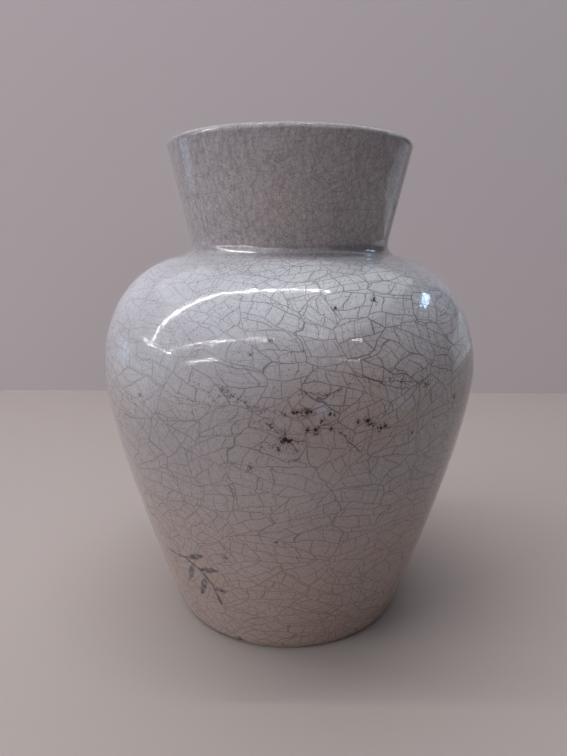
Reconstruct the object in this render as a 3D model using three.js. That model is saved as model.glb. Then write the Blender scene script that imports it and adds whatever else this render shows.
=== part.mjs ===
// A snuff jar: an earthenware pot with a small foot, a high round shoulder and a flared collar,
// glazed outside and inside.
// Millimetres, +Z up. The origin is the centre of the foot, on the surface that the jar stands on.
// The pot is a body of revolution. Its outside is one outline, drawn in radius and height, and
// every other surface is that outline set back by the glaze and the clay.
import * as THREE from 'three';

// Outside of the jar, over the glaze
const footRadius = 54.2;
const bellyRadius = 83.25;
const bellyHeight = 114.8;
const neckRadius = 42.9;
const shoulderRise = 49.7;
const mouthRadius = 53.2;
const collarHeight = 45.5;

// The flank's lean from upright at the foot, and the shoulder's fall from level at the neck
const flankLean = THREE.MathUtils.degToRad(20.2);
const shoulderFall = THREE.MathUtils.degToRad(12.2);

// Fullness of the curves: how far each end keeps its direction, as a share of that curve's span
const flankStartFullness = 0.15;
const flankEndFullness = 0.23;
const shoulderStartFullness = 0.27;
const shoulderEndFullness = 0.745;

// The hollow where the collar grows out of the shoulder, measured along each from their corner
const coveReach = 5.7;

// Clay and glaze. The glaze is fused to the clay, and the clearance only keeps the solids apart
const clayThickness = 4;
const floorThickness = 6;
const floorCornerHeight = 15;
const glazeThickness = 0.5;
const glazeClearance = 0.05;

// The foot: a turned ring of bare clay, and the height at which the outer glaze stops
const footRingWidth = 9;
const footRecess = 2;
const footBevel = 0.8;
const glazeEdgeHeight = 1;

// Facets around the pot, and steps along each curve of the outline
const facetsAround = 48;
const flankSteps = 6;
const shoulderSteps = 7;
const coveSteps = 3;
const lipHalfSteps = 2;
const floorCornerSteps = 4;

// Depths behind the outside, through the outer glaze, the clay and the inner glaze
const clayDepth = glazeThickness + glazeClearance;
const clayBackDepth = clayDepth + clayThickness;
const innerGlazeDepth = clayBackDepth + glazeClearance;
const wallThickness = innerGlazeDepth + glazeThickness;

const lipRadius = wallThickness / 2;
const neckHeight = bellyHeight + shoulderRise;
const jarHeight = neckHeight + collarHeight;

// A point of the outline: x is the radius and y the height
const at = (radius, height) => new THREE.Vector2(radius, height);

const foot = at(footRadius, 0);
const belly = at(bellyRadius, bellyHeight);
const neck = at(neckRadius, neckHeight);
const mouth = at(mouthRadius, jarHeight);

const flankCurve = new THREE.CubicBezierCurve(
  foot,
  at(Math.sin(flankLean), Math.cos(flankLean)).multiplyScalar(flankStartFullness * bellyHeight).add(foot),
  at(bellyRadius, bellyHeight - flankEndFullness * bellyHeight),
  belly,
);

const shoulderDirection = at(Math.cos(shoulderFall), -Math.sin(shoulderFall));
const shoulderEnd = neck.clone().addScaledVector(shoulderDirection, coveReach);
const shoulderCurve = new THREE.CubicBezierCurve(
  belly,
  at(bellyRadius, bellyHeight + shoulderStartFullness * shoulderRise),
  shoulderEnd.clone().addScaledVector(shoulderDirection, shoulderEndFullness * (bellyRadius - neckRadius)),
  shoulderEnd,
);

const collarDirection = mouth.clone().sub(neck).normalize();
const collarOutward = at(collarDirection.y, -collarDirection.x);
const collarStart = neck.clone().addScaledVector(collarDirection, coveReach);
const coveCurve = new THREE.QuadraticBezierCurve(shoulderEnd, neck, collarStart);

// The lip is a half round: it runs on from the collar's outside and touches the jar's full height
const collarShortfall = lipRadius * (1 - collarOutward.y) / collarDirection.y;
const collarEnd = mouth.clone().addScaledVector(collarDirection, -collarShortfall);
const lipCentre = collarEnd.clone().addScaledVector(collarOutward, -lipRadius);

// A place on the outline: the point over the glaze, and the direction that faces away from the clay
const place = (point, outward) => ({ point, outward });

function curvePlaces(curve, start, steps) {
  return Array.from({ length: steps + 1 }, (_, i) => {
    const t = start + (1 - start) * i / steps;
    const tangent = curve.getTangent(t);
    return place(curve.getPoint(t), at(tangent.y, -tangent.x));
  });
}

// The wall's outside, from a place part of the way up the flank to the lip
function wallPlaces(flankStart) {
  return [
    ...curvePlaces(flankCurve, flankStart, flankSteps),
    ...curvePlaces(shoulderCurve, 0, shoulderSteps).slice(1),
    ...curvePlaces(coveCurve, 0, coveSteps).slice(1),
    place(collarEnd, collarOutward),
  ];
}

// The round of the lip, from just past the collar's outside to the top, and from there to its inside
function lipPlaces() {
  const outside = Math.atan2(collarOutward.y, collarOutward.x);
  const top = Math.PI / 2;
  const inside = outside + Math.PI;
  return [[outside, top], [top, inside]].flatMap(([from, to]) => (
    Array.from({ length: lipHalfSteps }, (_, i) => {
      const angle = from + (to - from) * (i + 1) / lipHalfSteps;
      const outward = at(Math.cos(angle), Math.sin(angle));
      return place(lipCentre.clone().addScaledVector(outward, lipRadius), outward);
    })
  ));
}

// The points that lie at a depth behind the given places
const setBack = (places, depth) => places.map(
  ({ point, outward }) => point.clone().addScaledVector(outward, -depth),
);

// How far along the flank curve the surface at a depth behind it reaches a height, by halving
function flankParameter(height, depth) {
  let low = 0;
  let high = 1;
  while (high - low > 1e-9) {
    const middle = (low + high) / 2;
    const reached = flankCurve.getPoint(middle).y + flankCurve.getTangent(middle).x * depth;
    if (reached < height) low = middle;
    else high = middle;
  }
  return high;
}

// The inside at a depth behind the outside: down from below the lip to the middle of the floor
function insideOutline(depth, floorHeight) {
  const flankStart = flankParameter(floorHeight + floorCornerHeight, depth);
  const wall = setBack(wallPlaces(flankStart), depth).reverse();
  const wallFoot = wall.at(-1);
  const slope = flankCurve.getTangent(flankStart);
  const cornerPoint = at(wallFoot.x - floorCornerHeight * slope.x / slope.y, floorHeight);
  const floorEdge = at(cornerPoint.x - floorCornerHeight, floorHeight);
  const corner = new THREE.QuadraticBezierCurve(wallFoot, cornerPoint, floorEdge);
  return [...wall.slice(1), ...corner.getPoints(floorCornerSteps).slice(1), at(0, floorHeight)];
}

const outsidePlaces = [...wallPlaces(flankParameter(glazeEdgeHeight, 0)), ...lipPlaces()];
const glazeOutside = setBack(outsidePlaces, 0);
const glazeBack = setBack(outsidePlaces, glazeThickness);
const clayOutside = setBack(outsidePlaces, clayDepth);

const clayFloorHeight = footRecess + floorThickness;
const poolBackHeight = clayFloorHeight + glazeClearance;
const clayInside = insideOutline(clayBackDepth, clayFloorHeight);
const poolBack = insideOutline(innerGlazeDepth, poolBackHeight);
const poolFace = insideOutline(wallThickness, poolBackHeight + glazeThickness);

const footEdge = footRadius - footBevel;
const ringInside = footEdge - footRingWidth;
const underside = [
  at(0, footRecess),
  at(ringInside - footRecess, footRecess),
  at(ringInside, 0),
  at(footEdge, 0),
];

const clayOutline = [...underside, ...clayOutside, ...clayInside];
const outerGlazeOutline = [...glazeOutside, ...glazeBack.toReversed(), glazeOutside[0]];
const innerGlazeOutline = [
  ...poolBack.toReversed(),
  glazeBack.at(-1),
  glazeOutside.at(-1),
  ...poolFace,
];

// A named piece: an outline turned around the upright axis
function turnedPiece(name, outline, material) {
  const geometry = new THREE.LatheGeometry(outline, facetsAround).rotateX(Math.PI / 2);
  const mesh = new THREE.Mesh(geometry, material);
  mesh.name = name;
  return mesh;
}

const bareClay = new THREE.MeshStandardMaterial({ color: '#c4b29c', roughness: 0.85, metalness: 0 });
const crazedGlaze = new THREE.MeshStandardMaterial({ color: '#b3aaa2', roughness: 0.12, metalness: 0 });
const poolGlaze = new THREE.MeshStandardMaterial({ color: '#bdb4aa', roughness: 0.18, metalness: 0 });

const group = new THREE.Group();
group.add(
  turnedPiece('clay_body', clayOutline, bareClay),
  turnedPiece('outer_glaze', outerGlazeOutline, crazedGlaze),
  turnedPiece('inner_glaze', innerGlazeOutline, poolGlaze),
);

export default group;
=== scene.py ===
import math

import bpy
import numpy as np
from mathutils import Matrix, Vector, noise


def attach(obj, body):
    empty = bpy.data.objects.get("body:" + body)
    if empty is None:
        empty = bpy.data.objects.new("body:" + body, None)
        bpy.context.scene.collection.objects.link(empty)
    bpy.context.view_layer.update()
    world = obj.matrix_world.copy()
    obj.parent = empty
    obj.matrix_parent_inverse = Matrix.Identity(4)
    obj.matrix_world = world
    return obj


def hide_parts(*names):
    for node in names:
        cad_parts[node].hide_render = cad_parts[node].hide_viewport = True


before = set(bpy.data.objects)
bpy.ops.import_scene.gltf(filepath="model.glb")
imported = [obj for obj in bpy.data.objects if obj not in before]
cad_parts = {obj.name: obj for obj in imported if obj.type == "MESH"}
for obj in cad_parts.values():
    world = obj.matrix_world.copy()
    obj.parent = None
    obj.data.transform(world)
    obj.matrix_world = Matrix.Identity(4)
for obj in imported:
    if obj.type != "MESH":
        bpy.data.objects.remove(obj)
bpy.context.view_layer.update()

# A snuff jar: finer meshes and materials for the pot and its two coats of glaze, the photograph's
# camera, a plain stage and its lamps. Metres, +Z up, and -Y faces the viewer.

# Outside of the jar, over the glaze, as in the solid
FOOT_RADIUS = 0.0542
BELLY_RADIUS = 0.08325
BELLY_HEIGHT = 0.1148
NECK_RADIUS = 0.0429
SHOULDER_RISE = 0.0497
MOUTH_RADIUS = 0.0532
COLLAR_HEIGHT = 0.0455
FLANK_LEAN = math.radians(20.2)
SHOULDER_FALL = math.radians(12.2)
FLANK_START_FULLNESS = 0.15
FLANK_END_FULLNESS = 0.23
SHOULDER_START_FULLNESS = 0.27
SHOULDER_END_FULLNESS = 0.745
COVE_REACH = 0.0057

# Clay and glaze
CLAY_THICKNESS = 0.004
FLOOR_THICKNESS = 0.006
FLOOR_CORNER_HEIGHT = 0.015
GLAZE_THICKNESS = 0.0005
GLAZE_CLEARANCE = 0.00005

# The foot: a turned ring of bare clay
FOOT_RING_WIDTH = 0.009
FOOT_RECESS = 0.002
FOOT_BEVEL = 0.0008
FOOT_ROUNDING = 0.0005

# The outer glaze's lower edge: its height, how far up and by what share the coat thins there, how
# high its waves are, and how far up they and the chips lift the coat
GLAZE_EDGE_HEIGHT = 0.001
GLAZE_EDGE_TAPER = 0.0016
GLAZE_EDGE_THINNING = 0.9
GLAZE_EDGE_WAVE = 0.0005
GLAZE_EDGE_FADE = 0.01

# How deep the real surface lies behind the drawn outline, which leaves room for its unevenness
SINK = 0.0002

# The hand's unevenness: how far each kind stands off the outline, and about how far apart it repeats
OVAL_HEIGHT = 0.00004
RING_HEIGHT, RING_SPACING = 0.00002, 0.0115
LUMP_HEIGHT, LUMP_SIZE = 0.0001, 0.045
RIPPLE_HEIGHT, RIPPLE_SIZE = 0.00003, 0.012

# The marks of the turning tool under the foot, and the grain of the clay there
GROOVE_DEPTH, GROOVE_SPACING = 0.00012, 0.0021
GRAIN_DEPTH, GRAIN_SIZE = 0.00006, 0.0016

# The height above which the pot has its full unevenness, the radius that the tool leaves smooth, and
# how high and how deep the clay breaks at a chip, as shares of how high the glaze does
STEADY_HEIGHT = 0.004
SMOOTH_RADIUS = 0.003
CHIP_RISE = 1.4
CHIP_DEPTH = 0.55

# Columns around each mesh, and the steps between its rows
COLUMNS = 360
WALL_STEP = 0.0014
INSIDE_STEP = 0.0020
FINE_STEP = 0.0005
HIDDEN_STEP = 0.008
COVE_FINENESS = 0.35
LIP_STEPS = 12
SEARCH_STEP = 0.00002

# Edges that bend more than this are sharp
SHARP_ANGLE = math.radians(50)

# How much room a hidden surface gets in a baking map, as a share of what a shown one gets
HIDDEN_SHARE = 0.02

NECK_HEIGHT = BELLY_HEIGHT + SHOULDER_RISE
JAR_HEIGHT = NECK_HEIGHT + COLLAR_HEIGHT
CLAY_DEPTH = GLAZE_THICKNESS + GLAZE_CLEARANCE
CLAY_BACK_DEPTH = CLAY_DEPTH + CLAY_THICKNESS
INNER_GLAZE_DEPTH = CLAY_BACK_DEPTH + GLAZE_CLEARANCE
WALL_THICKNESS = INNER_GLAZE_DEPTH + GLAZE_THICKNESS
CLAY_FLOOR_HEIGHT = FOOT_RECESS + FLOOR_THICKNESS
GLAZE_FLOOR_HEIGHT = CLAY_FLOOR_HEIGHT + GLAZE_CLEARANCE + GLAZE_THICKNESS

# The photograph's frame in pixels, and the camera that took it
PHOTO_WIDTH, PHOTO_HEIGHT = 567, 756
FOCAL_PIXELS = 570.6
CAMERA_DISTANCE = 0.26406
CAMERA_HEIGHT = 0.16925
CAMERA_PITCH = math.radians(13.48)
CAMERA_YAW = math.radians(-0.515)
CAMERA_ROLL = math.radians(0.251)

# The stretch of a line of sight in which the jar is looked for, and the step
SIGHT_RANGE = (0.1, 0.4, 0.00005)

# The stage: the sheet's distance behind the jar, its top and sides, how far the floor reaches each
# way, the height of the tubes above, and the room's colour and how much it lights
SHEET_PLACE = 0.374
SHEET_TOP = 0.52
SHEET_LEFT, SHEET_RIGHT = -0.62, 0.38
FLOOR_REACH = 1.7
CEILING = 1.45
ROOM_COLOUR = (0.44, 0.43, 0.44, 1)
WORLD_STRENGTH = 0.07


# Camera

def camera_axes():
    """The camera's right, up and forward directions."""
    level = Vector((math.cos(CAMERA_YAW), -math.sin(CAMERA_YAW), 0))
    forward = Vector((
        math.sin(CAMERA_YAW) * math.cos(CAMERA_PITCH),
        math.cos(CAMERA_YAW) * math.cos(CAMERA_PITCH),
        -math.sin(CAMERA_PITCH),
    ))
    upright = level.cross(forward)
    right = math.cos(CAMERA_ROLL) * level + math.sin(CAMERA_ROLL) * upright
    up = math.cos(CAMERA_ROLL) * upright - math.sin(CAMERA_ROLL) * level
    return right, up, forward


camera_place = Vector((0, -CAMERA_DISTANCE, CAMERA_HEIGHT))
camera_right, camera_up, camera_forward = camera_axes()

camera = bpy.data.objects.new("camera", bpy.data.cameras.new("camera"))
bpy.context.scene.collection.objects.link(camera)
bpy.context.scene.camera = camera
camera.data.lens = camera.data.sensor_width * FOCAL_PIXELS / PHOTO_HEIGHT
camera.data.clip_start = 0.01
turn_matrix = Matrix((camera_right, camera_up, -camera_forward)).transposed()
camera.matrix_world = Matrix.Translation(camera_place) @ turn_matrix.to_4x4()


# Outline

def bezier(corners, step, start=0.0):
    """Points about a step apart along a Bezier curve, and its directions there."""
    reach = sum(np.linalg.norm(b - a) for a, b in zip(corners, corners[1:]))
    t = np.linspace(start, 1, max(2, round(reach * (1 - start) / step)))[:, None]
    level = [np.broadcast_to(corner, (len(t), 2)) for corner in corners]
    while len(level) > 2:
        level = [(1 - t) * a + t * b for a, b in zip(level, level[1:])]
    direction = level[1] - level[0]
    length = np.linalg.norm(direction, axis=1)[:, None]
    return (1 - t) * level[0] + t * level[1], direction / length


def facing_out(directions):
    """The directions that face away from the wall, for an outline that runs up its outside."""
    return np.stack([directions[:, 1], -directions[:, 0]], 1)


foot = np.array([FOOT_RADIUS, 0])
belly = np.array([BELLY_RADIUS, BELLY_HEIGHT])
neck = np.array([NECK_RADIUS, NECK_HEIGHT])
mouth = np.array([MOUTH_RADIUS, JAR_HEIGHT])
upward = np.array([0, 1])
flank_direction = np.array([math.sin(FLANK_LEAN), math.cos(FLANK_LEAN)])
shoulder_direction = np.array([math.cos(SHOULDER_FALL), -math.sin(SHOULDER_FALL)])
collar_direction = (mouth - neck) / np.linalg.norm(mouth - neck)
collar_outward = np.array([collar_direction[1], -collar_direction[0]])
shoulder_end = neck + shoulder_direction * COVE_REACH
collar_start = neck + collar_direction * COVE_REACH
lip_radius = WALL_THICKNESS / 2
collar_shortfall = lip_radius * (1 - collar_outward[1]) / collar_direction[1]
collar_end = mouth - collar_direction * collar_shortfall
lip_centre = collar_end - collar_outward * lip_radius

FLANK = [
    foot,
    foot + flank_direction * FLANK_START_FULLNESS * BELLY_HEIGHT,
    belly - upward * FLANK_END_FULLNESS * BELLY_HEIGHT,
    belly,
]
SHOULDER = [
    belly,
    belly + upward * SHOULDER_START_FULLNESS * SHOULDER_RISE,
    shoulder_end + shoulder_direction * SHOULDER_END_FULLNESS * (BELLY_RADIUS - NECK_RADIUS),
    shoulder_end,
]
COVE = [shoulder_end, neck, collar_start]
COLLAR = [collar_start, collar_end]


def wall_rows(step, start=0.0):
    """The wall's outside from the flank to the lip: points and the directions that face out."""
    curves = [
        bezier(FLANK, step, start),
        bezier(SHOULDER, step),
        bezier(COVE, step * COVE_FINENESS),
        bezier(COLLAR, step),
    ]
    points = np.vstack([curves[0][0]] + [way[1:] for way, _ in curves[1:]])
    facings = [facing_out(way) for _, way in curves]
    return points, np.vstack([facings[0]] + [facing[1:] for facing in facings[1:]])


def lip_rows():
    """The round of the lip, from just past the collar's outside to its inside."""
    first = math.atan2(collar_outward[1], collar_outward[0])
    angle = first + math.pi * np.arange(1, LIP_STEPS + 1) / LIP_STEPS
    outward = np.stack([np.cos(angle), np.sin(angle)], 1)
    return lip_centre + outward * lip_radius, outward


def outside_rows(step):
    """The outside from the glaze's lower edge to the inside of the lip."""
    wall, wall_out = wall_rows(step, flank_start(GLAZE_EDGE_HEIGHT, 0))
    lip, lip_out = lip_rows()
    return np.vstack([wall, lip]), np.vstack([wall_out, lip_out])


def flank_start(height, depth):
    """How far along the flank the surface at a depth behind it reaches a height."""
    points, directions = bezier(FLANK, SEARCH_STEP)
    reached = points[:, 1] + directions[:, 0] * depth
    return float(np.interp(height, reached, np.linspace(0, 1, len(reached))))


def inside_rows(depth, floor_height, step):
    """The inside at a depth behind the outside, from below the lip to the middle of the floor.

    The directions still face out of the jar, as the outside's do, and down under its floor.
    """
    start = flank_start(floor_height + FLOOR_CORNER_HEIGHT, depth)
    points, outward = wall_rows(step, start)
    wall = (points - outward * depth)[::-1]
    wall_foot, wall_foot_out = wall[-1], outward[0]
    slope = -wall_foot_out[1] / wall_foot_out[0]
    corner_point = np.array([wall_foot[0] - FLOOR_CORNER_HEIGHT * slope, floor_height])
    floor_edge = corner_point - np.array([FLOOR_CORNER_HEIGHT, 0])
    corner, corner_way = bezier([wall_foot, corner_point, floor_edge], step)
    floor, floor_way = bezier([floor_edge, np.array([0, floor_height])], step)
    rows = np.vstack([wall[1:], corner[1:], floor[1:]])
    facing = np.vstack([outward[::-1][1:], -facing_out(corner_way)[1:], -facing_out(floor_way)[1:]])
    return rows, facing


def rounded(points, rounding, step):
    """A path through points with its corners rounded: places about a step apart."""
    places = [points[0]]
    for before, corner, after in zip(points, points[1:], points[2:]):
        into = (before - corner) / np.linalg.norm(before - corner)
        out_of = (after - corner) / np.linalg.norm(after - corner)
        bend = [corner + into * rounding, corner, corner + out_of * rounding]
        places += list(bezier([places[-1], bend[0]], step)[0][1:])
        places += list(bezier(bend, rounding / 2)[0][1:])
    places += list(bezier([places[-1], points[-1]], step)[0][1:])
    return np.array(places)


# Places on the jar that a pixel of the photograph shows

outside_wall = wall_rows(WALL_STEP)[0]


def glaze_point(pixel):
    """Where the line of sight through a pixel meets the outside of the jar."""
    across = (pixel[0] - PHOTO_WIDTH / 2) / FOCAL_PIXELS
    above = (PHOTO_HEIGHT / 2 - pixel[1]) / FOCAL_PIXELS
    sight = camera_forward + camera_right * across + camera_up * above
    reach = np.arange(*SIGHT_RANGE)[:, None]
    places = np.array(camera_place) + np.array(sight) * reach
    jar_radius = np.interp(places[:, 2], outside_wall[:, 1], outside_wall[:, 0]) - SINK
    inside = np.hypot(places[:, 0], places[:, 1]) < jar_radius
    if not inside.any():
        raise ValueError(f"pixel {pixel} misses the jar")
    return Vector(places[inside.argmax()])


def angle_of(place):
    """The angle around the jar, from its back and clockwise seen from above."""
    return math.atan2(place.x, place.y) % (2 * math.pi)


# Relief: how far the real pot departs from the drawn outline, in metres

def seeded_noise(x, y, z, scale, seed):
    """Smooth noise from -1 to 1 at each place, with lumps about a scale across."""
    shift = Vector((seed * 17.3, seed * 5.1, seed * 11.7))
    places = zip(x.ravel(), y.ravel(), z.ravel())
    found = [noise.noise(Vector(place) / scale + shift) for place in places]
    return np.array(found).reshape(x.shape)


def thrown_relief(x, y, z):
    """The softness of a pot thrown by hand: slightly oval, with faint rings and shallow lumps."""
    angle = np.arctan2(x, -y)
    oval = OVAL_HEIGHT * np.cos(2 * angle + 0.7)
    rings = RING_HEIGHT * np.sin(2 * math.pi * (z / RING_SPACING + angle / (2 * math.pi)))
    lumps = LUMP_HEIGHT * seeded_noise(x, y, z, LUMP_SIZE, 1)
    ripple = RIPPLE_HEIGHT * seeded_noise(x, y, z, RIPPLE_SIZE, 2)
    return oval + rings + lumps + ripple - SINK


# Chips along the foot: the angle of each, how far it spreads around, in radians, and how high it
# reaches. The photograph shows the first two, at a pixel each
LEFT_CHIP = (240, 637)
RIGHT_CHIP = (352, 632)
CHIPS = [
    (angle_of(glaze_point(LEFT_CHIP)), 0.022, 0.0022),
    (angle_of(glaze_point(RIGHT_CHIP)), 0.014, 0.0010),
    (4.6, 0.030, 0.0018),
    (5.7, 0.018, 0.0014),
    (0.9, 0.026, 0.0024),
    (1.7, 0.015, 0.0012),
]


def chipping(angle):
    """The height to which the foot's edge is chipped at each angle around the jar."""
    height = 0
    for middle, spread, reach in CHIPS:
        away = (angle - middle + math.pi) % (2 * math.pi) - math.pi
        height = np.maximum(height, reach * np.exp(-(away / spread) ** 4))
    return height


# Meshes

def scale_along(outline):
    """The distance along an outline, scaled so that its map keeps angles, in metres at the belly."""
    step = np.linalg.norm(np.diff(outline, axis=0), axis=1)
    radius = np.maximum((outline[1:, 0] + outline[:-1, 0]) / 2, 0.01)
    return np.concatenate([[0], np.cumsum(step * BELLY_RADIUS / radius)])


def baking_rows(outline, shown):
    """The place of each row up the baking map: the shown steps fill it, but for a narrow strip."""
    step = np.linalg.norm(np.roll(outline, -1, axis=0) - outline, axis=1)
    if outline[0][0] == 0:
        step = step[:-1]
    both_shown = (shown & np.roll(shown, -1))[:len(step)]
    reach = np.cumsum(step * np.where(both_shown, 1, HIDDEN_SHARE))
    return np.concatenate([[0], reach]) / reach[-1]


def turned_mesh(name, outline, outward, shown, shape):
    """Turns an outline around the upright axis, shaped by a function of place and angle.

    An outline that starts and ends on the axis closes there. Any other joins its ends.
    The map called turned holds the place around and along the surface, in metres at the belly.
    The map called OFBake holds the place around and along it as shares of the whole.
    """
    angle = 2 * math.pi * np.arange(COLUMNS) / COLUMNS
    radius, height = shape(outline, outward, angle)
    on_axis = outline[:, 0] == 0
    along = scale_along(outline)
    baked = baking_rows(outline, shown)
    vertices = []
    first = []
    for row in range(len(outline)):
        first.append(len(vertices))
        ring = np.stack([radius[row] * np.sin(angle), radius[row] * np.cos(angle), height[row]], 1)
        vertices += [[0, 0, height[row][0]]] if on_axis[row] else ring.tolist()
    faces, corners, bake_corners = [], [], []
    column = np.arange(COLUMNS)
    after = (column + 1) % COLUMNS
    pairs = list(zip(range(len(outline) - 1), range(1, len(outline))))
    if not on_axis[0]:
        pairs.append((len(outline) - 1, 0))
    for low, high in pairs:
        high_along = along[high] if high else along[low]
        corner = [first[low] + column, first[high] + column, first[high] + after, first[low] + after]
        around = [column, column, column + 1, column + 1]
        ends = [along[low], high_along, high_along, along[low]]
        baked_ends = [baked[low], baked[low + 1], baked[low + 1], baked[low]]
        kept = [0, 1, 2, 3]
        if on_axis[low]:
            corner[0] = np.full(COLUMNS, first[low])
            kept = [0, 1, 2]
        elif on_axis[high]:
            corner[1] = np.full(COLUMNS, first[high])
            kept = [0, 1, 3]
        faces += np.stack([corner[k] for k in kept], 1).tolist()
        u = np.stack([around[k] for k in kept], 1)
        for chosen, across, levels in (
            (corners, 2 * math.pi * BELLY_RADIUS / COLUMNS, ends),
            (bake_corners, 1 / COLUMNS, baked_ends),
        ):
            v = np.broadcast_to([levels[k] for k in kept], u.shape)
            chosen.append(np.stack([u * across, v], -1).reshape(-1, 2))
    mesh = bpy.data.meshes.new(name)
    mesh.from_pydata(vertices, [], faces)
    for layer_name, places in (("turned", corners), ("OFBake", bake_corners)):
        layer = mesh.uv_layers.new(name=layer_name)
        layer.uv.foreach_set("vector", np.vstack(places).ravel())
    mesh.polygons.foreach_set("use_smooth", [True] * len(mesh.polygons))
    mesh.set_sharp_from_angle(angle=SHARP_ANGLE)
    made = bpy.data.objects.new(name, mesh)
    bpy.context.scene.collection.objects.link(made)
    return made


def relieved(outline, outward, angle, relief):
    """The radius and height of each place after relief along the outward directions."""
    radius = np.repeat(outline[:, :1], len(angle), 1)
    height = np.repeat(outline[:, 1:], len(angle), 1)
    push = relief(radius * np.sin(angle), radius * np.cos(angle), height)
    return radius + outward[:, :1] * push, height + outward[:, 1:] * push


def glaze_shape(outline, outward, angle):
    """The outer glaze: its lower edge runs unevenly around the foot and steps up over each chip."""
    radius, height = relieved(outline, outward, angle, thrown_relief)
    wave = GLAZE_EDGE_WAVE * seeded_noise(np.sin(angle), np.cos(angle), 0 * angle, 0.22, 5)
    rise = np.maximum(wave, 0) + chipping(angle)
    fade = np.clip(1 - (outline[:, 1:] - GLAZE_EDGE_HEIGHT) / GLAZE_EDGE_FADE, 0, 1) ** 2
    return radius + flank_direction[0] * rise * fade, height + flank_direction[1] * rise * fade


def outer_glaze_rows():
    """The outer glaze: its face, thinner at its lower edge, and its hidden back."""
    face, face_out = outside_rows(WALL_STEP)
    hidden, hidden_out = outside_rows(HIDDEN_STEP)
    taper = np.clip(1 - (face[:, 1:] - GLAZE_EDGE_HEIGHT) / GLAZE_EDGE_TAPER, 0, 1) ** 2
    face = face - face_out * taper * GLAZE_THICKNESS * GLAZE_EDGE_THINNING
    back = hidden - hidden_out * GLAZE_THICKNESS
    shown = np.arange(len(face) + len(back)) < len(face)
    return np.vstack([face, back[::-1]]), np.vstack([face_out, hidden_out[::-1]]), shown


def pot_shape(outline, outward, angle):
    """The clay pot: the thrown wall, and a foot with turning grooves and chips."""
    def relief(x, y, z):
        return thrown_relief(x, y, z) * np.clip(z / STEADY_HEIGHT, 0, 1)
    radius, height = relieved(outline, outward, angle, relief)
    under = (outward[:, 1] < -0.5)[:, None] & (outline[:, 1:] < FOOT_RECESS * 1.5)
    tooled = outline[:, :1] > SMOOTH_RADIUS
    turns = outline[:, :1] / GROOVE_SPACING
    grooves = GROOVE_DEPTH * (1 + np.sin(2 * math.pi * turns + 0.4 * np.sin(angle)))
    x, y = radius * np.sin(angle), radius * np.cos(angle)
    grain = GRAIN_DEPTH * (1 + seeded_noise(x, y, height, GRAIN_SIZE, 7))
    height = height + under * (grooves + grain) * tooled
    reach = chipping(angle)
    low = np.clip(1 - outline[:, 1:] / np.maximum(reach * CHIP_RISE, 1e-5), 0, 1)
    edge = outline[:, :1] > FOOT_RADIUS - FOOT_BEVEL * 3
    return radius - edge * low * reach * CHIP_DEPTH, height


def pot_rows():
    """The clay pot: its underside, the wall behind the outer glaze, and the inside."""
    foot_edge = FOOT_RADIUS - FOOT_BEVEL
    ring_inside = foot_edge - FOOT_RING_WIDTH
    wall, wall_out = outside_rows(HIDDEN_STEP)
    clay = wall - wall_out * CLAY_DEPTH
    under = rounded([
        np.array([0, FOOT_RECESS]),
        np.array([ring_inside - FOOT_RECESS, FOOT_RECESS]),
        np.array([ring_inside, 0]),
        np.array([foot_edge, 0]),
        clay[0],
    ], FOOT_ROUNDING, FINE_STEP)
    under_out = np.repeat([[0.0, -1.0]], len(under), 0)
    inside, inside_out = inside_rows(CLAY_BACK_DEPTH, CLAY_FLOOR_HEIGHT, HIDDEN_STEP)
    rows = np.vstack([under, clay[1:], inside])
    shown = np.arange(len(rows)) < len(under) + 1
    return rows, np.vstack([under_out, wall_out[1:], inside_out]), shown


def inner_glaze_rows():
    """The inner glaze: its hidden back, the edge that meets the lip, and its face."""
    back_floor = CLAY_FLOOR_HEIGHT + GLAZE_CLEARANCE
    back, back_out = inside_rows(INNER_GLAZE_DEPTH, back_floor, HIDDEN_STEP)
    face, face_out = inside_rows(WALL_THICKNESS, GLAZE_FLOOR_HEIGHT, INSIDE_STEP)
    lip, lip_out = lip_rows()
    edge = np.array([lip[-1] - lip_out[-1] * GLAZE_THICKNESS, lip[-1]])
    edge_out = -np.repeat(lip_out[-1:], 2, 0)
    rows = np.vstack([back[::-1], edge, face])
    shown = np.arange(len(rows)) > len(back)
    return rows, np.vstack([back_out[::-1], edge_out, face_out]), shown


def pool_shape(outline, outward, angle):
    """The inner glaze follows the thrown wall."""
    return relieved(outline, outward, angle, thrown_relief)


def piece(name, rows, shape, node):
    """A turned piece that rides on the jar in place of a node."""
    made = turned_mesh(name, *rows, shape)
    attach(made, "root")
    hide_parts(node)
    return made


outer_glaze = piece("outer_glaze_coat", outer_glaze_rows(), glaze_shape, "outer_glaze")
clay_pot = piece("clay_pot", pot_rows(), pot_shape, "clay_body")
inner_glaze = piece("inner_glaze_coat", inner_glaze_rows(), pool_shape, "inner_glaze")


# Node trees

def tint(red, green, blue):
    """A colour as a shader takes it, from its usual numbers from 0 to 255."""
    return (*(((c / 255 + 0.055) / 1.055) ** 2.4 for c in (red, green, blue)), 1)


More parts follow.
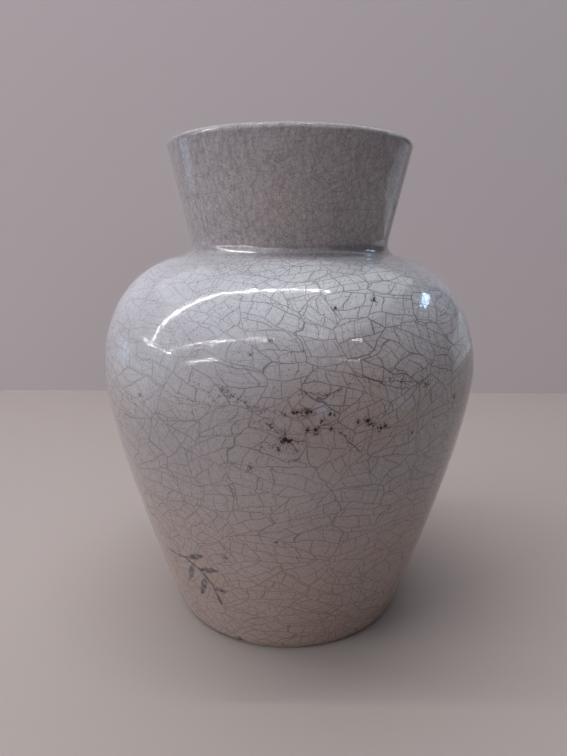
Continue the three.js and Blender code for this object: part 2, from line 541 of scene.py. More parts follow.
class Nodes:
    """A material's node tree. Each call adds a node and returns an output that the next can take."""

    def __init__(self, name):
        self.material = bpy.data.materials.new(name)
        self.material.use_nodes = True
        self.tree = self.material.node_tree
        self.shader = self.tree.nodes["Principled BSDF"]

    def put(self, socket, value):
        if isinstance(value, bpy.types.NodeSocket):
            self.tree.links.new(value, socket)
        else:
            socket.default_value = value

    def add(self, kind, inputs, **settings):
        node = self.tree.nodes.new("ShaderNode" + kind)
        for name, value in settings.items():
            setattr(node, name, value)
        for name, value in inputs.items():
            self.put(node.inputs[name], value)
        return node.outputs

    def math(self, operation, *values):
        return self.add("Math", dict(enumerate(values)), operation=operation)[0]

    def vector(self, operation, *values):
        outputs = self.add("VectorMath", dict(enumerate(values)), operation=operation)
        return outputs["Value" if operation in ("DISTANCE", "LENGTH", "DOT_PRODUCT") else "Vector"]

    def scaled(self, vector, amount):
        return self.add("VectorMath", {"Vector": vector, "Scale": amount}, operation="SCALE")["Vector"]

    def joined(self, x, y, z=0.0):
        return self.add("CombineXYZ", {"X": x, "Y": y, "Z": z})[0]

    def parts(self, vector):
        return self.add("SeparateXYZ", {"Vector": vector})

    def noise(self, vector, size, detail=2.0, roughness=0.5):
        inputs = {"Vector": vector, "Scale": 1 / size, "Detail": detail, "Roughness": roughness}
        return self.add("TexNoise", inputs)

    def step(self, value, low, high, start=0.0, end=1.0):
        """A soft step from start to end as the value goes from low to high."""
        inputs = {"Value": value, "From Min": low, "From Max": high, "To Min": start, "To Max": end}
        return self.add("MapRange", inputs, interpolation_type="SMOOTHSTEP")[0]

    def blend(self, factor, first, second):
        """The first colour where the factor is 0, and the second where it is 1."""
        return self.add("Mix", {0: factor, 6: first, 7: second}, data_type="RGBA")[2]

    def drift(self, vector, size, reach, detail=2.0, roughness=0.5):
        """A shift of at most half a reach each way, by noise about a size across."""
        colour = self.noise(vector, size, detail, roughness)["Color"]
        return self.scaled(self.vector("SUBTRACT", colour, (0.5, 0.5, 0.5)), reach)

    def fold(self, operation, values):
        """One operation run along a list of values."""
        found = values[0]
        for value in values[1:]:
            found = self.math(operation, found, value)
        return found

    def largest(self, values):
        return self.fold("MAXIMUM", values)

    def smallest(self, values):
        return self.fold("MINIMUM", values)

    def surface(self, colour, roughness, relief, depth):
        """Gives the shader its colour, roughness and bump, and returns the material."""
        bump = self.add("Bump", {"Height": relief, "Strength": 1.0, "Distance": depth})[0]
        for name, value in (("Base Color", colour), ("Roughness", roughness), ("Normal", bump)):
            self.put(self.shader.inputs[name], value)
        return self.material


# Crazing

def cells(n, plane, size, stretch):
    """Cells about a size across: the distance to the nearest edge, and a plane turned for each cell."""
    spread = n.vector("MULTIPLY", plane, (1 / (size * stretch), stretch / size, 0))
    inputs = {"Vector": spread, "Scale": 1.0, "Randomness": 0.85}
    edge = n.add("TexVoronoi", inputs, voronoi_dimensions="2D", feature="DISTANCE_TO_EDGE")[0]
    colour = n.add("TexVoronoi", inputs, voronoi_dimensions="2D", feature="F1")["Color"]
    angle = n.math("MULTIPLY_ADD", n.parts(colour)[0], 1.5, -0.75)
    turned = n.add("VectorRotate", {"Vector": plane, "Angle": angle}, rotation_type="Z_AXIS")[0]
    return n.math("MULTIPLY", edge, size), n.vector("ADD", turned, n.scaled(colour, 3.7))


def bands(n, value, width):
    """Bands of uneven width across a value.

    Gives the distance to the nearest edge, a random colour for each band, and the place within it.
    """
    inputs = {"W": value, "Scale": 1 / width, "Randomness": 0.6}
    edge = n.add("TexVoronoi", inputs, voronoi_dimensions="1D", feature="DISTANCE_TO_EDGE")[0]
    nearest = n.add("TexVoronoi", inputs, voronoi_dimensions="1D", feature="F1")
    return n.math("MULTIPLY", edge, width), nearest["Color"], n.math("SUBTRACT", value, nearest["W"])


def split(n, plane, size):
    """Rows across a plane, each cut into cells that lean their own way.

    Gives the distance to the nearest edge, and a plane that a finer split can cut each cell with.
    """
    along, up, _ = n.parts(plane)
    row_edge, row_colour, row_up = bands(n, up, size)
    row_random = n.parts(row_colour)
    slant = n.math("MULTIPLY_ADD", row_random[1], 0.8, -0.4)
    along = n.math("ADD", along, n.math("MULTIPLY", row_random[0], 3.7))
    along = n.math("MULTIPLY_ADD", row_up, slant, along)
    cell_edge, cell_colour, cell_along = bands(n, along, size * 1.1)
    cell_random = n.parts(cell_colour)
    tilt = n.math("MULTIPLY_ADD", cell_random[1], 0.8, -0.4)
    up = n.math("ADD", up, n.math("MULTIPLY", cell_random[2], 1.9))
    up = n.math("MULTIPLY_ADD", cell_along, tilt, up)
    return n.math("MINIMUM", row_edge, cell_edge), n.joined(along, up)


# A crack's soft edge: where it starts and ends, as shares of the crack's half width
CRACK_EDGE = (0.35, 1.5)


def crack(n, distance, half_width):
    """1 on a crack and 0 away from it, with a soft edge."""
    inner, outer = (n.math("MULTIPLY", half_width, share) for share in CRACK_EDGE)
    return n.step(distance, inner, outer, 1, 0)


def surface_plane(n, place):
    """The place around and along the jar, in metres at the belly, with a wandering seam at its back.

    Also returns the distance to that seam, which is drawn as a crack.
    """
    turned = n.parts(n.add("UVMap", {}, uv_map="turned")[0])
    girth = 2 * math.pi * BELLY_RADIUS
    wander = n.math("MULTIPLY_ADD", n.noise(place, 0.03)[0], 0.024, -0.012)
    around = n.math("WRAP", n.math("ADD", turned[0], wander), girth, 0.0)
    seam = n.math("MINIMUM", around, n.math("SUBTRACT", girth, around))
    plane = n.joined(around, turned[1])
    for size, reach in ((0.030, 0.009), (0.010, 0.0028), (0.0035, 0.0009)):
        plane = n.vector("ADD", plane, n.drift(place, size, reach, 1.0))
    return plane, seam


# Each level of cracks: the cell's size, half of the crack's width, how dark it is, how much of it is
# missing, and its share on the collar
CRACK_LEVELS = [
    (0.0145, 0.000150, 1.00, 0.10, 0.32),
    (0.0064, 0.000130, 1.00, 0.14, 0.45),
    (0.0036, 0.000095, 0.60, 0.43, 1.05),
]


def crazing(n, place, darkness, collar):
    """How much crack shows at each place, from 0 to 1, and how much stain lies beside the cracks."""
    plane, seam = surface_plane(n, place)
    flat = n.vector("MULTIPLY", place, (1, 1, 0))
    radius = n.math("MAXIMUM", n.vector("LENGTH", flat), 0.02)
    widening = n.math("DIVIDE", BELLY_RADIUS, radius)
    pressure = n.math("MULTIPLY_ADD", n.noise(place, 0.011, 1.0)[0], 0.9, 0.55)
    width = n.math("MULTIPLY", widening, pressure)
    shown, stained = [], []
    for index, (size, half_width, dark, missing, on_collar) in enumerate(CRACK_LEVELS):
        if index == 0:
            distance, plane = cells(n, plane, size, 1.2)
            distance = n.math("MINIMUM", distance, seam)
        else:
            distance, plane = split(n, plane, size)
        line = crack(n, distance, n.math("MULTIPLY", width, half_width))
        shift = n.vector("ADD", place, (0.3 * index, 0.1, 0.2))
        there = n.step(n.noise(shift, 0.018, 2.0)[0], missing - 0.08, missing + 0.12)
        strength = n.step(collar, 0, 1, dark, dark * on_collar)
        shown.append(n.math("MULTIPLY", line, n.math("MULTIPLY", there, strength)))
        stained.append(n.math("MULTIPLY", n.step(distance, 0.0, 0.0016, 1, 0), dark))
    return n.math("MULTIPLY", n.largest(shown), darkness), n.largest(stained)


# Pits in the glaze, filled with dirt: the pixel that shows each, and its radius
PITS = [
    ((285, 440), 0.0012), ((289, 441), 0.0008), ((281, 442), 0.0007), ((279, 450), 0.0006),
    ((293, 413), 0.0006), ((297, 412), 0.0007), ((301, 413), 0.0007), ((307, 412), 0.0008),
    ((311, 412), 0.0007), ((284, 414), 0.0005), ((308, 430), 0.0008), ((316, 430), 0.0009),
    ((331, 429), 0.0006), ((334, 415), 0.0005), ((358, 422), 0.0007), ((368, 421), 0.0009),
    ((371, 424), 0.0007), ((381, 428), 0.0009), ((385, 426), 0.0008), ((412, 432), 0.0006),
    ((454, 397), 0.0008), ((322, 421), 0.0005), ((341, 432), 0.0004), ((270, 425), 0.0005),
    ((335, 308), 0.0006), ((374, 300), 0.0008), ((226, 558), 0.0007), ((276, 543), 0.0006),
    ((270, 341), 0.0005), ((250, 355), 0.0004), ((395, 208), 0.0011), ((330, 414), 0.0007),
]

# Faint smudges in the glaze, the same way
SMUDGES = [
    ((222, 390), 0.0013), ((228, 391), 0.0011), ((232, 396), 0.0008), ((192, 413), 0.0006),
    ((140, 395), 0.0012), ((132, 398), 0.0009), ((136, 404), 0.0007), ((219, 396), 0.0008),
]

# Cracks with dirt in them, as paths of pixels that show them
DIRTY_CRACKS = [
    [(286, 440), (283, 431), (275, 424), (266, 424)],
    [(286, 440), (293, 446), (298, 457)],
    [(276, 445), (268, 446)],
    [(289, 441), (297, 442), (305, 441)],
    [(281, 434), (277, 428), (270, 425)],
    [(260, 445), (258, 456), (251, 470)],
    [(341, 432), (352, 444), (360, 452)],
    [(228, 394), (240, 400), (252, 408), (270, 411)],
    [(355, 376), (378, 381), (404, 381), (430, 384)],
    [(300, 391), (311, 393), (326, 396), (338, 390), (350, 384)],
]

# A worn sprig painted low on the left: where each stroke starts and ends, in pixels, and half of its
# width in the middle and at its ends
BRUSH_STROKES = [
    ((169, 549), (185, 557), 0.0007, 0.0005),
    ((185, 557), (200, 569), 0.0008, 0.0007),
    ((200, 569), (213, 585), 0.0009, 0.0007),
    ((213, 585), (222, 604), 0.0008, 0.0006),
    ((186, 557), (203, 556), 0.0015, 0.0003),
    ((200, 569), (218, 571), 0.0015, 0.0003),
    ((193, 564), (190, 580), 0.0015, 0.0003),
    ((206, 577), (202, 594), 0.0015, 0.0003),
    ((214, 588), (228, 592), 0.0013, 0.0003),
]


def spots(n, place, marks, raggedness):
    """How far each place is from ragged round marks: 0 in the middle of one and 1 on its rim."""
    for size, share in ((0.0014, 0.8), (0.0005, 0.6)):
        place = n.vector("ADD", place, n.drift(place, size, raggedness * share, 3.0, 0.7))
    return n.smallest([
        n.math("DIVIDE", n.vector("DISTANCE", place, tuple(glaze_point(pixel))), radius)
        for pixel, radius in marks
    ])


def along_line(n, place, start, end):
    """The distance to the line between the places that two pixels show, and the share of the way."""
    start, end = glaze_point(start), glaze_point(end)
    way = end - start
    offset = n.vector("SUBTRACT", place, tuple(start))
    share = n.vector("DOT_PRODUCT", offset, tuple(way / way.length_squared))
    share = n.add("Clamp", {"Value": share})[0]
    return n.vector("DISTANCE", offset, n.scaled(tuple(way), share)), share


def along_paths(n, place, paths):
    """The distance to the nearest of some paths of pixels."""
    lines = [line for path in paths for line in zip(path, path[1:])]
    return n.smallest([along_line(n, place, start, end)[0] for start, end in lines])


def brush_strokes(n, place):
    """1 inside the brush strokes and 0 outside."""
    strokes = []
    for start, end, middle_width, end_width in BRUSH_STROKES:
        distance, share = along_line(n, place, start, end)
        bulge = n.math("MULTIPLY", n.math("SUBTRACT", 1.0, share), share)
        half_width = n.math("MULTIPLY_ADD", bulge, 4 * (middle_width - end_width), end_width)
        strokes.append(n.step(n.math("DIVIDE", distance, half_width), 0.5, 1.3, 1, 0))
    return n.largest(strokes)


def slid(n, place, size, reach):
    """The place moved about within the surface, by noise about a size across."""
    shift = n.drift(place, size, reach)
    outward = n.add("TexCoord", {})["Normal"]
    away = n.scaled(outward, n.vector("DOT_PRODUCT", shift, outward))
    return n.vector("ADD", place, n.vector("SUBTRACT", shift, away))


def dots(n, place, spacing, radius, share):
    """Round dots of uneven size, scattered about a spacing apart, of which a share shows."""
    nearest = n.add("TexVoronoi", {"Vector": place, "Scale": 1 / spacing}, feature="F1")
    random = n.parts(nearest["Color"])
    shown = n.step(random[0], share - 0.02, share + 0.02, 1, 0)
    reach = n.math("MULTIPLY_ADD", random[1], radius / spacing, radius / spacing / 2)
    from_dot = n.math("DIVIDE", nearest["Distance"], reach)
    return n.math("MULTIPLY", shown, n.step(from_dot, 0.6, 1.2, 1, 0))


# Patches where the glaze differs from the rest, among them painted light, painted shade and a painted
# reflection: the pixel that shows the middle, how far each reaches, and how much it adds there
WARM_FRONT = ((345, 390), 0.050, 0.75)
# The painted light from above reaches lower at the left edge
PAINTED_LIGHT_LOW_EDGE = ((125, 385), 0.055, 0.009)
# Less of the painted light from above on the upper left of the shoulder
LESS_PAINTED_LIGHT = ((182, 276), 0.030, -0.20)
# Painted light on the top of the shoulder, just under the collar
PAINTED_LIGHT_TOP = ((300, 274), 0.034, 0.45)
# Painted shade in the cove under the collar, more of it on the right
PAINTED_COVE_SHADE = ((335, 250), 0.050, 0.6)
# A darker patch on the belly
DARKER_BELLY = ((265, 400), 0.055, 0.19)
WARM_COLLAR = ((285, 212), 0.032, 0.25)
# A painted bluish reflection low on the belly: a spot and a band
PAINTED_SHEEN_SPOT = ((325, 407), 0.0055, 1)
PAINTED_SHEEN_BAND = ((400, 398), 0.010, 0.7)
DARKER_CRACKS = ((430, 345), 0.095, 0.40)
VEILED_CRACKS = ((165, 300), 0.050, -0.32)
REDDER_CRACKS = ((345, 385), 0.03, 0.7)
DULL_LIP = ((396, 142), 0.014, 0.35)
BRIGHT_COVE = ((240, 250), 0.022, 1)


def near(n, place, patch):
    """What a patch adds: all of it in the middle, fading to nothing at its reach."""
    pixel, reach, amount = patch
    away = n.vector("DISTANCE", place, tuple(glaze_point(pixel)))
    return n.step(away, 0.0, reach, amount, 0)


# Materials

# The white of the painted light on the shoulder's top
PAINTED_LIGHT_WHITE = tint(234, 236, 242)
# The shoulder's colour, paler and bluer than the rest as painted light from above; inside the jar, one
# of two random tones
GLAZE_SHOULDER = tint(200, 201, 210)
GLAZE_PALE = tint(164, 156, 157)
GLAZE_COOL = tint(158, 151, 154)
GLAZE_WARM = tint(162, 140, 130)
GLAZE_COLLAR = tint(166, 158, 160)
# Dark grey for the collar's smoky mottle, and for the painted shade in the cove
GLAZE_SMOKE_AND_SHADE = tint(112, 107, 115)
# The pale blue of the painted reflection on the belly
PAINTED_SHEEN_BLUE = tint(176, 184, 204)
POOL_STAIN = tint(142, 116, 92)
BRUSH_BLUE = tint(40, 42, 62)
CLAY_BUFF = tint(190, 170, 146)
CLAY_PINK = tint(178, 150, 128)
CLAY_GRUBBY = tint(104, 88, 76)
CRACK_GREY = tint(76, 69, 70)
CRACK_RED = tint(72, 47, 44)
SMUDGE_GREY = tint(66, 62, 74)
STAIN_DARK = tint(26, 15, 11)
STAIN_BROWN = tint(88, 62, 54)
SHEET_PAPER = tint(177, 168, 171)
FLOOR_PAPER = tint(169, 158, 154)

# How deep each surface's fine bumps are
GLAZE_PEEL = 0.000020
POOL_PEEL = 0.00003
CLAY_GRAIN = 0.00008


def smoked(n, place, tone, amount):
    """A tone turned to the collar's, with its upright smoky mottle."""
    tone = n.blend(n.math("MULTIPLY", amount, 0.85), tone, GLAZE_COLLAR)
    upright = n.vector("MULTIPLY", place, (1, 1, 0.45))
    mottle = n.step(n.noise(upright, 0.0018, 4.0, 0.75)[0], 0.36, 0.66, 0, 0.52)
    return n.blend(n.math("MULTIPLY", mottle, amount), tone, GLAZE_SMOKE_AND_SHADE)


def glaze_tone(n, place, height, collar, cove):
    """The glaze's colour: warm low down and smoky on the collar, with painted light on the shoulder,
    painted shade in the cove and a painted reflection on the belly.
    """
    tone = n.blend(n.step(n.noise(place, 0.035, 3.0)[0], 0.35, 0.65), GLAZE_PALE, GLAZE_COOL)
    low = n.step(height, 0.105, 0.02, 0, 0.95)
    warmth = n.math("MAXIMUM", low, near(n, place, WARM_FRONT))
    warmth = n.math("MULTIPLY", warmth, n.step(n.noise(place, 0.02, 3.0)[0], 0.2, 0.6, 0.5, 1.0))
    tone = n.blend(warmth, tone, GLAZE_WARM)
    uneven = n.math("MULTIPLY_ADD", n.noise(place, 0.03, 2.0)[0], 0.03, -0.015)
    uneven = n.math("ADD", uneven, near(n, place, PAINTED_LIGHT_LOW_EDGE))
    # Painted light from above: the glaze turns paler and bluer from the belly up to the shoulder
    painted_top_light = n.step(n.math("ADD", height, uneven), BELLY_HEIGHT - 0.003, BELLY_HEIGHT + 0.036)
    painted_light_share = n.math("ADD", near(n, place, LESS_PAINTED_LIGHT), 0.8)
    tone = n.blend(n.math("MULTIPLY", painted_top_light, painted_light_share), tone, GLAZE_SHOULDER)
    # Painted light on the shoulder's top
    tone = n.blend(near(n, place, PAINTED_LIGHT_TOP), tone, PAINTED_LIGHT_WHITE)
    tone = smoked(n, place, tone, collar)
    # Darker towards the top of the collar and on a patch of the belly, and painted shade in the cove
    darkening_and_shade = n.largest([
        n.step(height, NECK_HEIGHT + 0.020, JAR_HEIGHT, 0, 0.17),
        n.math("MULTIPLY", cove, near(n, place, PAINTED_COVE_SHADE)),
        near(n, place, DARKER_BELLY),
    ])
    tone = n.blend(darkening_and_shade, tone, GLAZE_SMOKE_AND_SHADE)
    tone = n.blend(near(n, place, WARM_COLLAR), tone, GLAZE_WARM)
    # A painted bluish reflection on the belly, broken by noise
    painted_sheen = n.math("MAXIMUM", near(n, place, PAINTED_SHEEN_SPOT), near(n, place, PAINTED_SHEEN_BAND))
    painted_sheen = n.math("MULTIPLY", painted_sheen, n.step(n.noise(place, 0.004, 2.0)[0], 0.25, 0.6, 0.1, 0.5))
    return n.blend(painted_sheen, tone, PAINTED_SHEEN_BLUE)


def speckled(n, place):
    """How much grey speckle shows: fine grains, crowded small dots and a few larger ones."""
    grains = n.step(n.noise(place, 0.0006, 2.0, 0.6)[0], 0.42, 0.62, 0, 0.16)
    crowded = n.step(n.noise(place, 0.012, 2.0)[0], 0.4, 0.62, 0.25, 0.65)
    small = n.math("MULTIPLY", dots(n, place, 0.0008, 0.00022, 0.55), crowded)
    large = n.math("MULTIPLY", dots(n, place, 0.0042, 0.00026, 0.35), 0.75)
    return n.largest([grains, small, large])


def pitted(n, place):
    """The pits with the dirt sprayed around them, and the brown stain that surrounds both."""
    from_pit = spots(n, place, PITS, 0.0022)
    crowd = n.step(from_pit, 1.0, 4.0, 0.19, 0)
    spray = n.step(n.math("ADD", n.noise(place, 0.0008, 2.0, 0.6)[0], crowd), 0.71, 0.77, 0, 0.7)
    pits = n.math("MAXIMUM", n.step(from_pit, 0.6, 0.95, 1, 0), spray)
    mottle = n.step(n.noise(place, 0.0016, 3.0)[0], 0.35, 0.6)
    return pits, n.math("MULTIPLY", n.step(from_pit, 0.9, 3.5, 0.24, 0), mottle)


def dirty(n, place):
    """How much dirt lies in the dirty cracks, and in crusts beside them."""
    distance = along_paths(n, slid(n, place, 0.004, 0.0030), DIRTY_CRACKS)
    crusts = n.step(n.noise(place, 0.0008, 3.0, 0.7)[0], 0.54, 0.62)
    crusted = n.math("MULTIPLY", n.step(distance, 0.0003, 0.0026, 1, 0), crusts)
    dirt = n.math("MAXIMUM", n.step(distance, 0.00008, 0.00028, 1, 0), crusted)
    return n.math("MULTIPLY", dirt, n.step(n.noise(place, 0.005)[0], 0.32, 0.46))


def brushed(n, place):
    """How much of the worn sprig's paint is left."""
    worn = n.step(n.noise(place, 0.0014, 4.0, 0.7)[0], 0.36, 0.58, 0.22, 0.85)
    return n.math("MULTIPLY", brush_strokes(n, slid(n, place, 0.0015, 0.0012)), worn)


def crackle_glaze():
    """The outer glaze: pale and glossy, crazed all over, pitted, and stained where dirt got in."""
    n = Nodes("crackle_glaze")
    place = n.add("TexCoord", {})["Object"]
    height = n.parts(place)[2]
    collar = n.step(height, NECK_HEIGHT - 0.003, NECK_HEIGHT + 0.002)
    from_cove = n.math("ABSOLUTE", n.math("SUBTRACT", height, NECK_HEIGHT + 0.0012))
    cove = n.step(from_cove, 0.0012, 0.0030, 1, 0)

    darkness = n.math("ADD", near(n, place, DARKER_CRACKS), near(n, place, VEILED_CRACKS))
    cracks, beside = crazing(n, place, n.math("ADD", darkness, 0.52), collar)
    crack_colour = n.blend(near(n, place, REDDER_CRACKS), CRACK_GREY, CRACK_RED)
    pits, halo = pitted(n, place)
    smudged = n.step(spots(n, place, SMUDGES, 0.0030), 0.4, 1.1, 0.5, 0)

    colour = glaze_tone(n, place, height, collar, cove)
    for amount, stain in (
        (halo, STAIN_BROWN),
        (n.math("MULTIPLY", beside, 0.08), CRACK_GREY),
        (speckled(n, place), CRACK_GREY),
        (brushed(n, place), BRUSH_BLUE),
        (smudged, SMUDGE_GREY),
        (cracks, crack_colour),
        (n.math("MULTIPLY", dirty(n, place), 0.85), CRACK_RED),
        (n.math("MULTIPLY", pits, 0.92), STAIN_DARK),
    ):
        colour = n.blend(amount, colour, stain)

    rough_marks = n.math("MULTIPLY", n.math("MAXIMUM", cracks, pits), 0.35)
    dulled = n.math("MULTIPLY_ADD", cove, 0.08, near(n, place, DULL_LIP))
    gloss = n.step(n.noise(place, 0.02, 3.0)[0], 0.3, 0.7, 0.02, 0.05)
    roughness = n.math("ADD", gloss, n.math("ADD", rough_marks, dulled))
    polished = n.math("MULTIPLY", cove, near(n, place, BRIGHT_COVE))
    specular = n.math("ADD", n.step(pits, 0, 1, 0.5, 0.1), polished)
    n.put(n.shader.inputs["Specular IOR Level"], specular)
    n.shader.inputs["IOR"].default_value = 1.5

    wave = n.noise(place, 0.0032, 1.0)[0]
    wave = n.math("MULTIPLY_ADD", n.noise(place, 0.0015, 0.0)[0], 1.2, wave)
    peel = n.math("MULTIPLY_ADD", n.noise(place, 0.0009, 0.0)[0], 0.8, wave)
    dips = n.math("MAXIMUM", n.math("MULTIPLY", cracks, 0.5), n.math("MULTIPLY", pits, 3.0))
    return n.surface(colour, roughness, n.math("SUBTRACT", peel, dips), GLAZE_PEEL)


def pool_glaze():
    """The glaze inside: as the outside's but calmer, with a brown stain that settles on the floor."""
    n = Nodes("pool_glaze")
    place = n.add("TexCoord", {})["Object"]
    height = n.parts(place)[2]
    tone = n.blend(n.step(n.noise(place, 0.03, 3.0)[0], 0.35, 0.65), GLAZE_SHOULDER, GLAZE_PALE)
    uneven = n.math("MULTIPLY_ADD", n.noise(place, 0.02, 3.0)[0], 0.03, -0.015)
    settled = n.step(n.math("ADD", height, uneven), 0.045, 0.012, 0, 0.55)
    tone = n.blend(settled, tone, POOL_STAIN)
    mouth = n.step(n.math("ADD", height, uneven), JAR_HEIGHT - 0.040, JAR_HEIGHT - 0.002)
    tone = smoked(n, place, tone, mouth)
    warped = n.vector("ADD", place, n.drift(place, 0.012, 0.006))
    lines = []
    for size, half_width, dark in ((0.012, 0.00012, 0.6), (0.0058, 0.00010, 0.45)):
        inputs = {"Vector": warped, "Scale": 1 / size, "Randomness": 0.75}
        distance = n.add("TexVoronoi", inputs, feature="DISTANCE_TO_EDGE")[0]
        inner, outer = (half_width * share for share in CRACK_EDGE)
        line = n.step(n.math("MULTIPLY", distance, size), inner, outer, 1, 0)
        lines.append(n.math("MULTIPLY", line, dark))
    cracks = n.largest(lines)
    grains = n.step(n.noise(place, 0.0006, 2.0)[0], 0.50, 0.66)
    colour = n.blend(n.math("MULTIPLY", grains, 0.2), tone, CRACK_GREY)
    colour = n.blend(cracks, colour, CRACK_GREY)
    gloss = n.step(n.noise(place, 0.02, 3.0)[0], 0.3, 0.7, 0.08, 0.14)
    roughness = n.math("ADD", gloss, n.math("MULTIPLY", cracks, 0.3))
    return n.surface(colour, roughness, n.noise(place, 0.0022, 1.0)[0], POOL_PEEL)


def bare_clay():
    """Fired buff clay, grainy, with iron specks, and grubby where the foot rubs on a shelf."""
    n = Nodes("bare_clay")
    place = n.add("TexCoord", {})["Object"]
    flat = n.vector("MULTIPLY", place, (1, 1, 0))
    radius = n.vector("LENGTH", flat)
    tone = n.blend(n.step(n.noise(place, 0.012, 4.0)[0], 0.35, 0.65), CLAY_BUFF, CLAY_PINK)
    rubbed = n.step(radius, FOOT_RADIUS - 0.013, FOOT_RADIUS - 0.002, 0, 0.7)
    grubby = n.math("MULTIPLY", rubbed, n.step(n.noise(place, 0.006, 4.0, 0.6)[0], 0.35, 0.6, 0.4, 1))
    tone = n.blend(grubby, tone, CLAY_GRUBBY)
    specks = n.step(n.noise(place, 0.0013, 2.0)[0], 0.66, 0.72)
    colour = n.blend(n.math("MULTIPLY", specks, 0.7), tone, STAIN_DARK)
    grain = n.noise(place, 0.0005, 4.0, 0.65)[0]
    colour = n.blend(n.step(grain, 0.35, 0.7, 0, 0.3), colour, CLAY_GRUBBY)
    return n.surface(colour, n.step(grain, 0.3, 0.7, 0.75, 0.92), grain, CLAY_GRAIN)


def plain(name, colour, roughness):
    """A material of one colour."""
    n = Nodes(name)
    n.shader.inputs["Base Color"].default_value = colour
    n.shader.inputs["Roughness"].default_value = roughness
    return n.material


outer_glaze.data.materials.append(crackle_glaze())
inner_glaze.data.materials.append(pool_glaze())
clay_pot.data.materials.append(bare_clay())


# Stage and light

def new_lamp(name, size, radiance, mirrored, lighting):
    """A rectangular lamp that looks as bright as its radiance, and that the camera doesn't see."""
    light = bpy.data.lights.new(name, "AREA")
    light.shape = "RECTANGLE"
    light.size, light.size_y = size
    light.energy = radiance * math.pi * size[0] * size[1]
    lamp = bpy.data.objects.new(name, light)
    bpy.context.scene.collection.objects.link(lamp)
    lamp.visible_camera = False
    lamp.visible_glossy = mirrored
    lamp.visible_diffuse = lighting
    return lamp


def area_light(name, place, target, size, radiance, colour, mirrored, lighting):
    """A lamp that faces a target, with its first side level."""
    lamp = new_lamp(name, size, radiance, mirrored, lighting)
    lamp.data.color = colour
    lamp.location = place
    lamp.rotation_euler = (Vector(target) - Vector(place)).to_track_quat("-Z", "Y").to_euler()


def tube_light(name, start, end, width, radiance, lighting):
    """A long white lamp from start to end that faces the jar."""
    start, end = Vector(start), Vector(end)
    lamp = new_lamp(name, ((end - start).length, width), radiance, True, lighting)
    middle = (start + end) / 2
    along = (end - start).normalized()
    away = (middle - middle.dot(along) * along).normalized()
    axes = Matrix((along, away.cross(along), away)).transposed()
    lamp.matrix_world = Matrix.Translation(middle) @ axes.to_4x4()


def flat_mesh(name, corners):
    """One four-sided face."""
    mesh = bpy.data.meshes.new(name)
    mesh.from_pydata(corners, [], [(0, 1, 2, 3)])
    made = bpy.data.objects.new(name, mesh)
    bpy.context.scene.collection.objects.link(made)
    return made


def sheet():
    """A pale sheet that stands behind the jar."""
    ends = [(SHEET_LEFT, 0), (SHEET_RIGHT, 0), (SHEET_RIGHT, SHEET_TOP), (SHEET_LEFT, SHEET_TOP)]
    return flat_mesh("sheet", [(x, SHEET_PLACE, z) for x, z in ends])


def floor():
    """A pale floor, square around the jar."""
    sides = [(-1, -1), (1, -1), (1, 1), (-1, 1)]
    return flat_mesh("floor", [(FLOOR_REACH * x, FLOOR_REACH * y, 0) for x, y in sides])


for ground, colour in ((sheet(), SHEET_PAPER), (floor(), FLOOR_PAPER)):
    ground.data.materials.append(plain(ground.name + "_paper", colour, 0.9))

# Tubes on the ceiling, seen in the gloss: where each starts and ends, its width, its radiance, and
# whether it lights the jar as well
TUBES = [
    ((-5.4, -0.07), (-1.7, -0.07), 0.030, 60, False),
    ((-1.7, -0.07), (0.4, -0.07), 0.008, 170, True),
    ((-5.4, -1.40), (-2.2, -1.72), 0.010, 130, False),
    ((-2.2, -1.72), (-0.35, -1.90), 0.004, 220, False),
    ((0.36, -1.83), (0.86, -1.79), 0.024, 14, False),
    ((1.46, -1.70), (1.90, -1.65), 0.030, 20, False),
    ((-6.5, -3.70), (-3.2, -3.45), 0.022, 160, False),
    ((2.1, -3.40), (2.9, -3.10), 0.035, 40, False),
    ((-5.6, 0.90), (-5.6, -2.20), 0.009, 130, False),
]
for index, (start, end, *look) in enumerate(TUBES):
    tube_light(f"tube_{index}", (*start, CEILING), (*end, CEILING), *look)

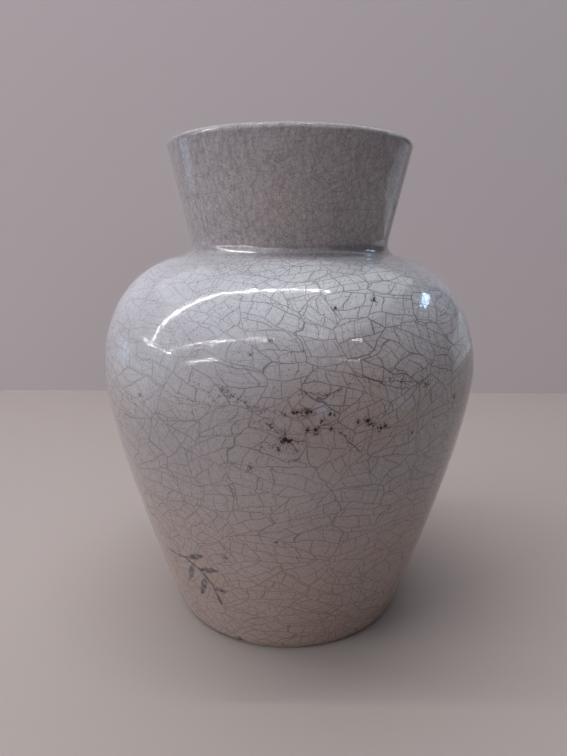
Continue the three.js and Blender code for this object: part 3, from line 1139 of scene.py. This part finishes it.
# The lamps' colours, from daylight to a clear sky
DAYLIGHT = (0.96, 0.98, 1.0)
OVERCAST = (0.94, 0.96, 1.0)
CLOUDY = (0.92, 0.95, 1.0)
PALE_BLUE = (0.80, 0.88, 1.0)
SOFT_BLUE = (0.68, 0.81, 1.0)
CLEAR_BLUE = (0.60, 0.77, 1.0)
DEEP_BLUE = (0.48, 0.70, 1.0)

GLOSS_ONLY = (True, False)
LIGHT_ONLY = (False, True)

# Other lamps: the name, the place, the target, the size, the radiance, the colour, and whether each
# shows in the gloss and whether it lights
LAMPS = [
    ("ceiling", (-0.3, -0.1, 1.8), (-0.3, -0.1, 0), (4.0, 4.5), 1.1, CLOUDY, *GLOSS_ONLY),
    ("skylight", (-0.6, 0.45, 1.8), (-0.6, 0.45, 0), (3.0, 2.8), 3.1, CLOUDY, *LIGHT_ONLY),
    ("front_fill", (0.7, -3.0, 0.9), (0, 0, 0.12), (2.0, 1.2), 1.7, OVERCAST, *LIGHT_ONLY),
    ("left_window", (-3.75, -1.75, 1.07), (0, 0, 0.12), (2.2, 2.2), 6.0, DAYLIGHT, *LIGHT_ONLY),
    ("left_gap", (-0.83, 0.27, 0.14), (0, 0, 0.15), (0.20, 0.12), 0.75, CLEAR_BLUE, *GLOSS_ONLY),
    ("left_glow", (-1.45, 0.42, 0.15), (0, 0, 0.15), (0.90, 0.28), 0.5, SOFT_BLUE, *GLOSS_ONLY),
    ("right_gap", (1.0, 0.75, 0.14), (0, 0, 0.15), (0.75, 0.26), 0.55, PALE_BLUE, *GLOSS_ONLY),
    ("right_window", (1.19, 0.57, 0.875), (0, 0, 0.15), (0.40, 0.10), 12, DEEP_BLUE, *GLOSS_ONLY),
]
for look in LAMPS:
    area_light(*look)


def room():
    """The room beyond the floor: pale to the camera, and a faint light on the jar."""
    world = bpy.data.worlds.new("world")
    bpy.context.scene.world = world
    world.use_nodes = True
    tree = world.node_tree
    background = tree.nodes["Background"]
    background.inputs["Color"].default_value = ROOM_COLOUR
    seen = tree.nodes.new("ShaderNodeLightPath").outputs["Is Camera Ray"]
    strength = tree.nodes.new("ShaderNodeMapRange")
    strength.inputs["To Min"].default_value = WORLD_STRENGTH
    tree.links.new(seen, strength.inputs["Value"])
    tree.links.new(strength.outputs["Result"], background.inputs["Strength"])


room()
bpy.context.scene.view_settings.view_transform = "Standard"
